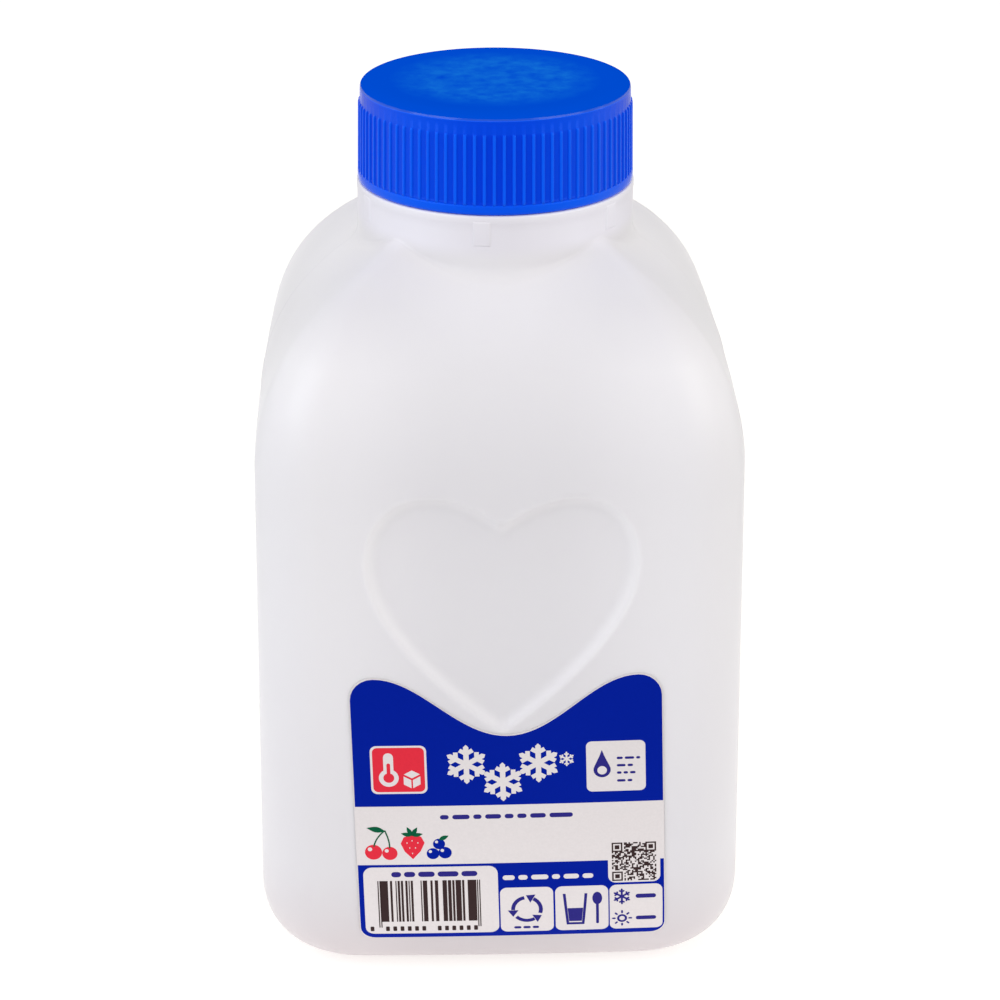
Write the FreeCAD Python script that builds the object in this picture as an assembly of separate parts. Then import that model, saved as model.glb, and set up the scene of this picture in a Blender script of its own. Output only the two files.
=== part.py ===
"""Freezer bottle: a square blow-moulded bottle, its ribbed screw cap and its printed label.

Millimetres, +Z up. The origin is the middle of the base, on the surface that the bottle
stands on, and -Y is the front, which carries the heart and the label.
"""
import FreeCAD
import Part
import math
import os

Vector = FreeCAD.Vector

# Body: a square with rounded corners and slightly crowned faces, a little wider at its foot
BODY_HALF = 37.9           # half width across the faces, where the shoulder starts
BODY_FLARE = 1.1           # added to the half width where the base rounding starts
FACE_CROWN_R = 900.0       # radius of the faces in plan
CORNER_R = 10.0            # upright corners in plan
WALL = 1.0                 # wall of the blow-moulded shell

# Base: an elliptical rounding up to the walls, low arches and a pushed-up middle
BASE_ROUND_WIDTH = 11.5
BASE_ROUND_HEIGHT = 15.4
ARCH_HEIGHT = 0.8          # rise of each bottom edge at its middle
ARCH_HALF_WIDTH = 19.0
PUSH_UP_HEIGHT = 3.0
PUSH_UP_R = 20.0

# Shoulder: four curved faces that meet in ridges and run on into the neck
SHOULDER_START_Z = 85.7
SHOULDER_HEIGHT = 29.4     # up to where the middle of each face meets the neck
SHOULDER_UPRIGHT = 15.1    # how far the curve holds the wall's direction
SHOULDER_RUN_IN = 10.4     # how far it holds the slope below the neck
SHOULDER_SLOPE = 33.5      # degrees from level, where it meets the neck
RIDGE_R = 2.0              # ridges between the shoulder faces, at the neck

# Neck: a wide collar flush with the cap, then the finish that the cap goes over
NECK_R = 21.8
NECK_WALL = 1.2
COLLAR_HEIGHT = 9.2        # from the foot of the neck to the collar's top
COLLAR_STEP = 2.4          # how far the finish stands in from the collar
COLLAR_ROOF = 1.6          # thickness of the collar's top
COLLAR_CONE = 1.6          # height of the cone inside, below the bore
FINISH_WALL = 1.8
BEAD_HEIGHT = 0.9          # thin ring round the top of the collar
BEAD_PROUD = 0.25
LUG_COUNT = 6
LUG_TURN = -97.0           # direction of the first lug, in degrees from +X
LUG_WIDTH = 2.5
LUG_HEIGHT = 3.7
LUG_PROUD = 0.4

# Cap
CAP_HEIGHT = 15.1
CAP_SKIRT = 1.7            # wall of the skirt
CAP_TAPER = 0.3            # how much smaller its radius is at the top
CAP_CLEARANCE = 0.4        # between the skirt and the finish
CAP_LIFT = 0.4             # between the skirt and the collar
CAP_ROOF = 1.6
CAP_SLOPE_WIDTH = 3.0      # outer part of the roof, which falls towards the edge
CAP_DROP = 1.7             # how far it falls
CAP_EDGE_R = 0.5           # rounding between the roof and the side
CAP_TOP_BAND = 1.6         # plain band above the ribs
CAP_RIM = 1.5              # plain band below them
RIB_COUNT = 90
RIB_DEPTH = 0.4
RIB_FOOT = 0.28            # half widths of a rib, as shares of the pitch
RIB_CREST = 0.12

# Heart pressed into the front, its lobes level with the start of the shoulder
HEART_HALF_WIDTH = 20.8
HEART_HEIGHT = 39.6        # from the tip to the tops of the lobes
HEART_NOTCH_DROP = 4.6     # from the tops of the lobes to the notch
HEART_WIDEST_DROP = 10.9   # from there to the widest level
HEART_DEPTH = 1.3
HEART_DRAFT = 1.1          # how far the wall leans in for each millimetre of depth

# Label: one printed film on the front, whose top edge follows the heart
LABEL_FILM = 0.2
LABEL_CENTRE_X = 1.1
LABEL_HALF_WIDTH = 24.2
LABEL_TURN = 0.5           # degrees that the film was laid askew
LABEL_BOTTOM_Z = 8.8
LABEL_HEART_GAP = 0.8      # from the heart's tip down to the valley of the top edge
LABEL_VALLEY_DEPTH = 10.7
LABEL_TOP_CORNER = 3.0
LABEL_BOTTOM_CORNER = 2.3

FOOT_HALF = BODY_HALF + BODY_FLARE
NECK_FOOT_Z = SHOULDER_START_Z + SHOULDER_HEIGHT
COLLAR_TOP_Z = NECK_FOOT_Z + COLLAR_HEIGHT
FINISH_R = NECK_R - COLLAR_STEP
CAP_BOTTOM_Z = COLLAR_TOP_Z + CAP_LIFT
CAP_TOP_Z = CAP_BOTTOM_Z + CAP_HEIGHT
CAP_R = FINISH_R + CAP_CLEARANCE + CAP_SKIRT
CAP_TOP_R = CAP_R - CAP_TAPER
FINISH_TOP_Z = CAP_TOP_Z - CAP_ROOF
HEART_TOP_Z = SHOULDER_START_Z
HEART_TIP_Z = HEART_TOP_Z - HEART_HEIGHT
LABEL_VALLEY_Z = HEART_TIP_Z - LABEL_HEART_GAP
LABEL_HUMP_Z = LABEL_VALLEY_Z + LABEL_VALLEY_DEPTH
SQUARE_TURNS = (0, 90, 180, 270)


def cubic(points, t):
    """Point and direction at t on a cubic Bezier curve of (half width, z) pairs."""
    u = 1.0 - t
    place = [u ** 3 * a + 3 * u * u * t * b + 3 * u * t * t * c + t ** 3 * d
             for a, b, c, d in zip(*points)]
    rate = [3 * u * u * (b - a) + 6 * u * t * (c - b) + 3 * t * t * (d - c)
            for a, b, c, d in zip(*points)]
    return place, rate


def body_profile(inset):
    """(half width, z, corner radius) of the body's sections, moved inwards by inset."""
    rows = []

    def add(half, z, out, up, corner):
        """One section; (out, up) is the direction in which its surface faces."""
        size = math.hypot(out, up)
        rows.append((half - inset * out / size, z - inset * up / size, max(corner - inset, 0.5)))

    for degrees in (90, 72, 54, 36, 18, 0):
        turn = math.radians(degrees)
        add(FOOT_HALF - BASE_ROUND_WIDTH * (1 - math.cos(turn)),
            BASE_ROUND_HEIGHT * (1 - math.sin(turn)),
            math.cos(turn) / BASE_ROUND_WIDTH, -math.sin(turn) / BASE_ROUND_HEIGHT, CORNER_R)
    for share in (0.2, 0.4, 0.6, 0.8):
        add(FOOT_HALF - BODY_FLARE * share,
            BASE_ROUND_HEIGHT + (SHOULDER_START_Z - BASE_ROUND_HEIGHT) * share, 1.0, 0.0, CORNER_R)
    slope = math.radians(SHOULDER_SLOPE)
    curve = [(BODY_HALF, SHOULDER_START_Z),
             (BODY_HALF, SHOULDER_START_Z + SHOULDER_UPRIGHT),
             (NECK_R + SHOULDER_RUN_IN * math.cos(slope), NECK_FOOT_Z - SHOULDER_RUN_IN * math.sin(slope)),
             (NECK_R, NECK_FOOT_Z)]
    steps = 8
    for step in range(steps + 1):
        (half, z), (d_half, d_z) = cubic(curve, step / steps)
        share = (BODY_HALF - half) / (BODY_HALF - NECK_R)
        add(half, z, d_z, -d_half, CORNER_R + (RIDGE_R - CORNER_R) * share)
    # The faces run on inside the neck until their corners are inside it too.
    for share in (0.85, 0.66):
        half = share * NECK_R
        add(half, NECK_FOOT_Z + (NECK_R - half) * math.tan(slope),
            math.sin(slope), math.cos(slope), RIDGE_R)
    return rows


def turned_point(x, y, z, degrees):
    c, s = math.cos(math.radians(degrees)), math.sin(math.radians(degrees))
    return Vector(x * c - y * s, x * s + y * c, z)


def section(half, z, corner_r):
    """Closed wire of a crowned square: four long arcs joined by tangent corner arcs."""
    side = half - FACE_CROWN_R
    centre = (side + math.sqrt(2 * (FACE_CROWN_R - corner_r) ** 2 - side ** 2)) / 2
    reach = math.hypot(centre, centre - side)
    far = side + FACE_CROWN_R * (centre - side) / reach
    near = FACE_CROWN_R * centre / reach
    diagonal = centre + corner_r * math.sqrt(0.5)
    edges = []
    for turn in SQUARE_TURNS:
        start = turned_point(far, -near, z, turn)
        end = turned_point(far, near, z, turn)
        after = turned_point(near, far, z, turn)
        edges.append(Part.Arc(start, turned_point(half, 0, z, turn), end).toShape())
        edges.append(Part.Arc(end, turned_point(diagonal, diagonal, z, turn), after).toShape())
    return Part.Wire(edges)


def body_solid(inset=0.0):
    """The body and shoulder as one smooth loft, without the neck."""
    wires = [section(half, z, corner) for half, z, corner in body_profile(inset)]
    return Part.makeLoft(wires, True, False)


def underside_tools(inset=0.0):
    """What is cut from below: two crossed arches and the push-up, grown by inset."""
    arch_r = (ARCH_HALF_WIDTH ** 2 + ARCH_HEIGHT ** 2) / (2 * ARCH_HEIGHT)
    dish_r = (PUSH_UP_R ** 2 + PUSH_UP_HEIGHT ** 2) / (2 * PUSH_UP_HEIGHT)
    length = 4 * FOOT_HALF
    along_x = Part.makeCylinder(arch_r + inset, length,
                                Vector(-length / 2, 0, ARCH_HEIGHT - arch_r), Vector(1, 0, 0))
    along_y = Part.makeCylinder(arch_r + inset, length,
                                Vector(0, -length / 2, ARCH_HEIGHT - arch_r), Vector(0, 1, 0))
    dish = Part.makeSphere(dish_r + inset, Vector(0, 0, PUSH_UP_HEIGHT - dish_r))
    return [along_x, along_y, dish]


def curve_edge(points):
    curve = Part.BezierCurve()
    curve.setPoles(points)
    return curve.toShape()


def heart_wire(y, grow):
    """Heart outline in the plane at y, grown outwards all round by grow.

    Each half is three curves: the flank from the tip to the widest level, the lobe's outer
    quarter and the dip to the notch. Their handles are shares of the half width and heights.
    """
    slant = 1.3            # a corner moves further than the sides that meet in it
    wide = HEART_HALF_WIDTH + grow
    level = HEART_TOP_Z - HEART_WIDEST_DROP
    tip = HEART_TIP_Z - grow * slant
    top = HEART_TOP_Z + grow
    notch = HEART_TOP_Z - HEART_NOTCH_DROP + grow * slant
    lobe = 0.54 * wide

    def half(side):
        def at(x, z):
            return Vector(side * x, y, z)
        flank = [at(0, tip), at(0.45 * wide, tip + 0.35 * wide), at(wide, level - 0.49 * wide),
                 at(wide, level)]
        outer = [at(wide, level), at(wide, level + 0.64 * (top - level)), at(lobe + 0.25 * wide, top),
                 at(lobe, top)]
        dip = [at(lobe, top), at(0.6 * lobe, top), at(0.26 * lobe, notch + 0.52 * (top - notch)),
               at(0, notch)]
        return [curve_edge(points) for points in (flank, outer, dip)]

    return Part.Wire(half(1) + half(-1)[::-1])


def heart_tool(depth, grow=0.0):
    """Drafted heart-shaped plug that ends on a floor parallel to the face, at depth."""
    face_y = -(BODY_HALF + FOOT_HALF) / 2
    out, deep = 4.0, 6.0
    plug = Part.makeLoft([heart_wire(face_y - out, grow + out * HEART_DRAFT),
                          heart_wire(face_y + deep, grow - deep * HEART_DRAFT)], True, True)
    return plug.cut(body_solid(depth))


def turned_solid(points):
    """Solid made by turning a closed outline of (radius, z) corners about the axis."""
    corners = [Vector(radius, 0, z) for radius, z in points]
    face = Part.Face(Part.makePolygon(corners + corners[:1]))
    return face.revolve(Vector(0, 0, 0), Vector(0, 0, 1), 360)


def neck_outside():
    foot_z = NECK_FOOT_Z - 3 * WALL
    bead_z = COLLAR_TOP_Z - BEAD_HEIGHT
    bead_r = NECK_R + BEAD_PROUD
    return turned_solid([(0, foot_z), (NECK_R, foot_z), (NECK_R, bead_z - BEAD_PROUD),
                         (bead_r, bead_z), (bead_r, COLLAR_TOP_Z - BEAD_PROUD),
                         (NECK_R, COLLAR_TOP_Z), (FINISH_R, COLLAR_TOP_Z),
                         (FINISH_R, FINISH_TOP_Z), (0, FINISH_TOP_Z)])


def neck_inside():
    foot_z = NECK_FOOT_Z - 3 * WALL
    above_z = FINISH_TOP_Z + WALL
    inner_r = NECK_R - NECK_WALL
    bore_r = FINISH_R - FINISH_WALL
    roof_z = COLLAR_TOP_Z - COLLAR_ROOF
    return turned_solid([(0, foot_z), (inner_r, foot_z), (inner_r, roof_z - COLLAR_CONE),
                         (bore_r, roof_z), (bore_r, above_z), (0, above_z)])


def lugs():
    """Small upright blocks that hang from the ring round the collar, spaced evenly."""
    depth = 2 * LUG_PROUD
    foot_z = COLLAR_TOP_Z - BEAD_HEIGHT - LUG_HEIGHT
    block = Part.makeBox(depth, LUG_WIDTH, LUG_HEIGHT,
                         Vector(NECK_R + LUG_PROUD - depth, -LUG_WIDTH / 2, foot_z))
    made = []
    for number in range(LUG_COUNT):
        lug = block.copy()
        lug.rotate(Vector(0, 0, 0), Vector(0, 0, 1), LUG_TURN + number * 360.0 / LUG_COUNT)
        made.append(lug)
    return made


def cut_each(solid, tools):
    for tool in tools:
        solid = solid.cut(tool)
    return solid


def make_bottle():
    """The shell, and what it holds when filled to the brim, in cubic millimetres."""
    outside = cut_each(body_solid(), underside_tools() + [heart_tool(HEART_DEPTH)])
    outside = outside.fuse([neck_outside()] + lugs())
    inside = cut_each(body_solid(WALL), underside_tools(WALL) + [heart_tool(HEART_DEPTH + WALL, WALL)])
    inside = inside.fuse(neck_inside())
    capacity = inside.Volume
    return outside.cut(inside), capacity


def rib_outline(z):
    """Star-shaped wire over the rib crests and the valleys between them."""
    valley_r = CAP_TOP_R - RIB_DEPTH
    points = []
    for number in range(RIB_COUNT):
        for share, radius in ((-RIB_FOOT, valley_r), (-RIB_CREST, CAP_TOP_R),
                              (RIB_CREST, CAP_TOP_R), (RIB_FOOT, valley_r)):
            points.append(turned_point(radius, 0, z, (number + share) * 360.0 / RIB_COUNT))
    return Part.makePolygon(points + points[:1])


def make_cap():
    """A cup turned from its profile, with a band of ribs fused to its side."""
    edge_z = CAP_TOP_Z - CAP_DROP
    rib_low = CAP_BOTTOM_Z + CAP_RIM
    rib_high = edge_z - CAP_TOP_BAND
    valley_r = CAP_TOP_R - RIB_DEPTH
    bore_r = FINISH_R + CAP_CLEARANCE
    side = [(0, FINISH_TOP_Z), (bore_r, FINISH_TOP_Z), (bore_r, CAP_BOTTOM_Z), (CAP_R, CAP_BOTTOM_Z),
            (CAP_R, rib_low), (valley_r, rib_low + RIB_DEPTH), (valley_r, rib_high),
            (CAP_TOP_R, rib_high + RIB_DEPTH), (CAP_TOP_R, edge_z - CAP_EDGE_R)]
    roof = [(CAP_TOP_R - CAP_SLOPE_WIDTH * (1 - share), CAP_TOP_Z - CAP_DROP * share ** 2)
            for share in (0.95, 0.8, 0.6, 0.4, 0.2, 0.0)]
    cup = turned_solid(side + roof + [(0, CAP_TOP_Z)])
    star = Part.Face(rib_outline(rib_low)).extrude(Vector(0, 0, rib_high + RIB_DEPTH - rib_low))
    core = Part.makeCylinder(valley_r - RIB_DEPTH, 2 * CAP_HEIGHT, Vector(0, 0, CAP_BOTTOM_Z - CAP_RIM))
    return cup.fuse(star.cut(core))


def label_outline(y):
    """The film's outline: two humps with a valley between them, and rounded corners."""
    wide, low, hump = LABEL_HALF_WIDTH, LABEL_BOTTOM_Z, LABEL_HUMP_Z
    top_r, low_r = LABEL_TOP_CORNER, LABEL_BOTTOM_CORNER

    def at(x, z):
        return Vector(x, y, z)

    def corner(x, z, in_x, in_z):
        """Arc round the corner at (x, z); in_x and in_z lead from it into the film."""
        middle = 1 - math.sqrt(0.5)
        return Part.Arc(at(x, z + in_z), at(x + in_x * middle, z + in_z * middle),
                        at(x + in_x, z)).toShape()

    def wave(side):
        """Half of the top edge, from the hump on that side down to the valley."""
        return curve_edge([at(side * (wide - top_r), hump), at(side * 0.55 * wide, hump),
                           at(side * 0.32 * wide, LABEL_VALLEY_Z), at(0, LABEL_VALLEY_Z)])

    wire = Part.Wire([
        Part.makeLine(at(low_r - wide, low), at(wide - low_r, low)),
        corner(wide, low, -low_r, low_r),
        Part.makeLine(at(wide, low + low_r), at(wide, hump - top_r)),
        corner(wide, hump, -top_r, -top_r),
        wave(1), wave(-1),
        corner(-wide, hump, top_r, -top_r),
        Part.makeLine(at(-wide, hump - top_r), at(-wide, low + low_r)),
        corner(-wide, low, low_r, low_r)])
    wire.rotate(Vector(0, y, (low + hump) / 2), Vector(0, 1, 0), -LABEL_TURN)
    wire.translate(Vector(LABEL_CENTRE_X, 0, 0))
    return wire


def make_label():
    """The film between the body's surface and the same surface moved out by its thickness."""
    before_y = -FOOT_HALF - 5 * WALL
    block = Part.Face(label_outline(before_y)).extrude(Vector(0, -before_y / 2, 0))
    return block.common(body_solid(-LABEL_FILM)).cut(body_solid())


def save(name, shape):
    solid = shape.removeSplitter()
    if len(solid.Solids) == 1:
        solid = solid.Solids[0]
    print("%-7s %d solid, valid %s, %.1f mm3" % (name, len(solid.Solids), solid.isValid(), solid.Volume))
    solid.exportStep("parts/%s.step" % name)


os.makedirs("parts", exist_ok=True)
bottle, brimful = make_bottle()
save("bottle", bottle)
save("cap", make_cap())
save("label", make_label())
print("holds %.0f ml to the brim" % (brimful / 1000.0))
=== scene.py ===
# %% [markdown]
# # A freezer bottle
#
# A square bottle of milky polyethylene, blown in a mould, with a ribbed blue screw cap, a heart
# pressed into its front and a printed film below the heart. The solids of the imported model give
# its size and its place. These cells build what the eye sees around them: the soft edges of a
# blown wall, the ribs of the cap, the print, the finishes and the light.

import math
import random

import bmesh
import bpy
import numpy as np
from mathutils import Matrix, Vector
from mathutils.geometry import tessellate_polygon


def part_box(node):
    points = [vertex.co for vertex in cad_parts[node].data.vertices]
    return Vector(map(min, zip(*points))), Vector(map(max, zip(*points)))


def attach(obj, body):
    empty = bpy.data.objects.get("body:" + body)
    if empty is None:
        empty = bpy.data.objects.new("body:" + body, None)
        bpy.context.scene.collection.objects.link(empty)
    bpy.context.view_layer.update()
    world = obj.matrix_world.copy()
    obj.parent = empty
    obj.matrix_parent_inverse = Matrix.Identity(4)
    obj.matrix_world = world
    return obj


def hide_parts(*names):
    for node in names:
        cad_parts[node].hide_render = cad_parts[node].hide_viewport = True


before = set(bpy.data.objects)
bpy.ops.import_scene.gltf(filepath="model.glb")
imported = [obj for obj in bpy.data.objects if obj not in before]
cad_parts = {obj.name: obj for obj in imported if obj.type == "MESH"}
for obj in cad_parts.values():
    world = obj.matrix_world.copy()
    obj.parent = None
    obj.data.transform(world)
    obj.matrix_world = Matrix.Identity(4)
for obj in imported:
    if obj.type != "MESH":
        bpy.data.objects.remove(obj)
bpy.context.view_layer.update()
MM = 0.001
print("nodes of the packed model:", sorted(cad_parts))


# %% [markdown]
# ## Small helpers
#
# Colours are written as hex values, which are sRGB. Cycles works in linear light, so one function
# turns them. Another adds a node, sets it and links it, for shader trees and for Geometry Nodes
# trees alike.

# %% Colours and nodes
def linear(hex_colour):
    """Linear red, green, blue and alpha of an sRGB colour such as "#3366CC"."""
    parts = [int(hex_colour[i:i + 2], 16) / 255 for i in (1, 3, 5)]
    return [c / 12.92 if c <= 0.04045 else ((c + 0.055) / 1.055) ** 2.4 for c in parts] + [1.0]


def add(tree, kind, inputs=None, **settings):
    """Adds a node. inputs gives, for a socket's name or number, a value, another node's output, or
    another node, which stands for its first live output."""
    node = tree.nodes.new(kind)
    for key, value in settings.items():
        setattr(node, key, value)
    for key, value in (inputs or {}).items():
        if isinstance(value, bpy.types.Node):
            value = next(output for output in value.outputs if output.enabled)
        if isinstance(value, bpy.types.NodeSocket):
            tree.links.new(value, node.inputs[key])
        else:
            node.inputs[key].default_value = value
    return node


def new_material(name):
    """An empty material and its node tree."""
    material = bpy.data.materials.new(name)
    material.use_nodes = True
    material.node_tree.nodes.clear()
    return material, material.node_tree


def close_material(tree, inputs):
    """Ends a tree in one Principled shader with these inputs."""
    shader = add(tree, "ShaderNodeBsdfPrincipled", inputs)
    add(tree, "ShaderNodeOutputMaterial", {"Surface": shader})


print("a mid grey, #808080, is %.3f in linear light" % linear("#808080")[0])


# %% [markdown]
# ## Meshes
#
# Every piece is a plain mesh whose place is in its points, in metres, with its object at the
# origin. It rides on the one body, and the name of its finish is printed. The bottle and the
# cap are shaded smooth, and the flat film and inks are not.

# %% Making and finishing a piece
def make_object(name, data, material=None):
    """An object that carries this mesh, lamp or camera."""
    made = bpy.data.objects.new(name, data)
    bpy.context.scene.collection.objects.link(made)
    if material is not None:
        data.materials.append(material)
    return made


def mesh_from(name, points, faces, material=None):
    """An object from points in millimetres and faces as lists of point numbers."""
    mesh = bpy.data.meshes.new(name)
    mesh.from_pydata([[c * MM for c in point] for point in points], [], faces)
    mesh.polygons.foreach_set("use_smooth", [True] * len(mesh.polygons))
    mesh.update()
    return make_object(name, mesh, material)


def finish_piece(piece, slot):
    """Sets the piece on the body and prints its size and the name of its finish."""
    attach(piece, "root")
    triangles = sum(len(p.vertices) - 2 for p in piece.data.polygons)
    print("%-20s %6d triangles, finish %s" % (piece.name, triangles, slot))
    return piece


def apply_nodes(piece, tree, values):
    """Runs a Geometry Nodes tree on a piece, with its inputs given by name, and keeps the result."""
    modifier = piece.modifiers.new("Nodes", "NODES")
    modifier.node_group = tree
    sockets = {item.name: item.identifier for item in tree.interface.items_tree
               if item.item_type == "SOCKET" and item.in_out == "INPUT"}
    for name, value in values.items():
        modifier[sockets[name]] = value
    depsgraph = bpy.context.evaluated_depsgraph_get()
    made = bpy.data.meshes.new_from_object(piece.evaluated_get(depsgraph), depsgraph=depsgraph)
    piece.modifiers.clear()
    piece.data = made
    return piece


# %% [markdown]
# ## Sizes
#
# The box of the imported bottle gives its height. Sizes that a box can't tell, such as how the
# shoulder bends or how deep the heart is, are written here once, in millimetres.

# %% Body, shoulder and neck
BODY_HALF = 37.9
BODY_FLARE = 1.1
CROWN_R = 900.0
CORNER_R = 10.0
WALL = 1.0
FOOT_HALF = BODY_HALF + BODY_FLARE
BASE_WIDTH = 11.5
BASE_HEIGHT = 15.4
ARCH_HEIGHT = 0.8
ARCH_HALF = 19.0
DISH_HEIGHT = 3.0
DISH_R = 20.0

SHOULDER_Z = 85.7
SHOULDER_UPRIGHT = 15.1
SHOULDER_RUN_IN = 10.4
SHOULDER_SLOPE = math.radians(33.5)
SLOPE_REACH = 0.36
RIDGE_R = 2.0
LEAST_CORNER = 0.5
NECK_R = 21.6
NECK_WALL = 1.2
NECK_Z = SHOULDER_Z + 29.4
COLLAR_TOP = NECK_Z + 9.3
RING_HEIGHT = 0.9
RING_PROUD = 0.06
FINISH_R = NECK_R - 2.2
FINISH_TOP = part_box("bottle")[1].z / MM
BORE_R = FINISH_R - 1.8
print("neck from %.1f to %.1f, finish up to %.1f mm" % (NECK_Z, COLLAR_TOP, FINISH_TOP))

# %% Heart
HEART_HALF = 20.8
HEART_TOP = SHOULDER_Z
HEART_TIP = HEART_TOP - 39.6
HEART_NOTCH = HEART_TOP - 4.6
HEART_WIDEST = HEART_TOP - 10.9
HEART_DEPTH = 1.3
HEART_WALL = 2.45
HEART_BOWL = 13.0
WALL_SHARE = 0.66
RIM_SOFTNESS = 0.12
LIP_HEIGHT, LIP_PLACE, LIP_WIDTH = 0.08, -0.15, 0.45
CREASE_WIDTH, CREASE_STEP = 1.8, 0.7
print("heart %.1f wide, %.1f high, %.1f mm deep" % (2 * HEART_HALF, HEART_TOP - HEART_TIP, HEART_DEPTH))


# %% [markdown]
# ## The bottle's wall as one surface
#
# A blown bottle is one skin. Each level of the body is a square with crowned sides and rounded
# corners, so the distance from the axis is known for every direction. A point on the skin is a
# direction and a step along the profile: base rounding, wall, shoulder, and the slope that runs
# on into the neck.

# %% One level of the body
def section_radius(turn, half, corner):
    """Distance from the axis to a crowned square of this half width, in direction turn."""
    off = np.abs((turn + math.pi / 4) % (math.pi / 2) - math.pi / 4)
    side = half - CROWN_R
    centre = (side + np.sqrt(2 * (CROWN_R - corner) ** 2 - side ** 2)) / 2
    apart = np.hypot(centre, centre - side)
    arc_ends = centre / (side + CROWN_R * (centre - side) / apart) * CROWN_R / apart
    on_side = side * np.cos(off) + np.sqrt(CROWN_R ** 2 - (side * np.sin(off)) ** 2)
    lean = centre * (np.cos(off) + np.sin(off))
    on_corner = lean + np.sqrt(np.maximum(lean ** 2 - 2 * centre ** 2 + corner ** 2, 0))
    return np.where(np.tan(off) < arc_ends, on_side, on_corner)


# %% The profile from base to neck
def profile(step, inset=0.0):
    """Half width, height and corner radius: base from step 0 to 1, wall to 2, shoulder to 3, slope on."""
    step = np.asarray(step, float)
    turn = (1 - np.clip(step, 0, 1)) * math.pi / 2
    half = FOOT_HALF - BASE_WIDTH * (1 - np.cos(turn))
    z = BASE_HEIGHT * (1 - np.sin(turn))
    out, up = np.cos(turn) / BASE_WIDTH, -np.sin(turn) / BASE_HEIGHT
    corner = np.full_like(half, CORNER_R)

    share = np.clip(step - 1, 0, 1)
    wall = (step > 1) & (step <= 2)
    half = np.where(wall, FOOT_HALF - BODY_FLARE * share, half)
    z = np.where(wall, BASE_HEIGHT + (SHOULDER_Z - BASE_HEIGHT) * share, z)

    t = np.clip(step - 2, 0, 1)
    u = 1 - t
    halves = (BODY_HALF, BODY_HALF, NECK_R + SHOULDER_RUN_IN * math.cos(SHOULDER_SLOPE), NECK_R)
    levels = (SHOULDER_Z, SHOULDER_Z + SHOULDER_UPRIGHT,
              NECK_Z - SHOULDER_RUN_IN * math.sin(SHOULDER_SLOPE), NECK_Z)

    def curve(p):
        return u ** 3 * p[0] + 3 * u * u * t * p[1] + 3 * u * t * t * p[2] + t ** 3 * p[3]

    def rate(p):
        return 3 * u * u * (p[1] - p[0]) + 6 * u * t * (p[2] - p[1]) + 3 * t * t * (p[3] - p[2])

    shoulder = step > 2
    half = np.where(shoulder, curve(halves), half)
    z = np.where(shoulder, curve(levels), z)
    out, up = np.where(shoulder, rate(levels), out), np.where(shoulder, -rate(halves), up)
    narrowed = (BODY_HALF - half) / (BODY_HALF - NECK_R)
    corner = np.where(shoulder, CORNER_R + (RIDGE_R - CORNER_R) * narrowed, corner)

    slope = step > 3
    inward = NECK_R * SLOPE_REACH * (step - 3)
    half = np.where(slope, NECK_R - inward, half)
    z = np.where(slope, NECK_Z + inward * math.tan(SHOULDER_SLOPE), z)
    out = np.where(slope, math.sin(SHOULDER_SLOPE), out)
    up = np.where(slope, math.cos(SHOULDER_SLOPE), up)
    corner = np.where(slope, RIDGE_R, corner)

    size = np.hypot(out, up)
    return half - inset * out / size, z - inset * up / size, np.maximum(corner - inset, LEAST_CORNER)


print("half width at the shoulder's start: %.2f mm" % profile(2.0)[0])


# %% [markdown]
# ## The heart
#
# The heart is a shallow recess with a crisp rim and a soft foot, as a blown wall can't fill a
# sharp inner corner. Its outline is six curves. The depth at a point comes from its distance
# inside the outline: steep at the rim, then flattening into the floor.

# %% Heart outline
def bezier(points, count):
    """count points on a cubic curve, without its last one."""
    t = np.linspace(0, 1, count, endpoint=False)[:, None]
    a, b, c, d = (np.array(p, float) for p in points)
    return (1 - t) ** 3 * a + 3 * (1 - t) ** 2 * t * b + 3 * (1 - t) * t * t * c + t ** 3 * d


def heart_outline(wide, top, notch, widest, tip):
    """Closed outline of a heart, from its tip up the right side and down the left."""
    lobe = 0.54 * wide
    flank = [(0, tip), (0.45 * wide, tip + 0.35 * wide), (wide, widest - 0.49 * wide), (wide, widest)]
    outer = [flank[-1], (wide, widest + 0.64 * (top - widest)), (lobe + 0.25 * wide, top), (lobe, top)]
    dip = [outer[-1], (0.6 * lobe, top), (0.26 * lobe, notch + 0.52 * (top - notch)), (0, notch)]
    right = np.vstack([bezier(flank, 90), bezier(outer, 40), bezier(dip, 40), [[0, notch]]])
    left = right[1:-1][::-1] * [-1, 1]
    return np.vstack([right, left])


HEART = heart_outline(HEART_HALF, HEART_TOP, HEART_NOTCH, HEART_WIDEST, HEART_TIP)
print("heart outline of %d points, %.1f by %.1f mm" % (len(HEART), *np.ptp(HEART, axis=0)))


# %% How deep a point of the wall is pressed in
def distance_inside(outline, x, z):
    """Signed distance from the outline, above 0 inside it, and the nearest points on it."""
    ends = np.roll(outline, -1, axis=0)
    along = ends - outline
    places = np.stack([x, z], -1)[:, None, :]
    share = ((places - outline) * along).sum(-1) / (along ** 2).sum(-1)
    near = outline + np.clip(share, 0, 1)[..., None] * along
    gaps = np.hypot(*(places - near).transpose(2, 0, 1))
    best = gaps.argmin(1)
    rows = np.arange(len(x))
    crossing = (outline[:, 1] > z[:, None]) != (ends[:, 1] > z[:, None])
    at = outline[:, 0] + (z[:, None] - outline[:, 1]) / (along[:, 1] + 1e-12) * along[:, 0]
    inside = (crossing & (x[:, None] < at)).sum(1) % 2 == 1
    return np.where(inside, gaps[rows, best], -gaps[rows, best]), near[rows, best]


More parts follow.
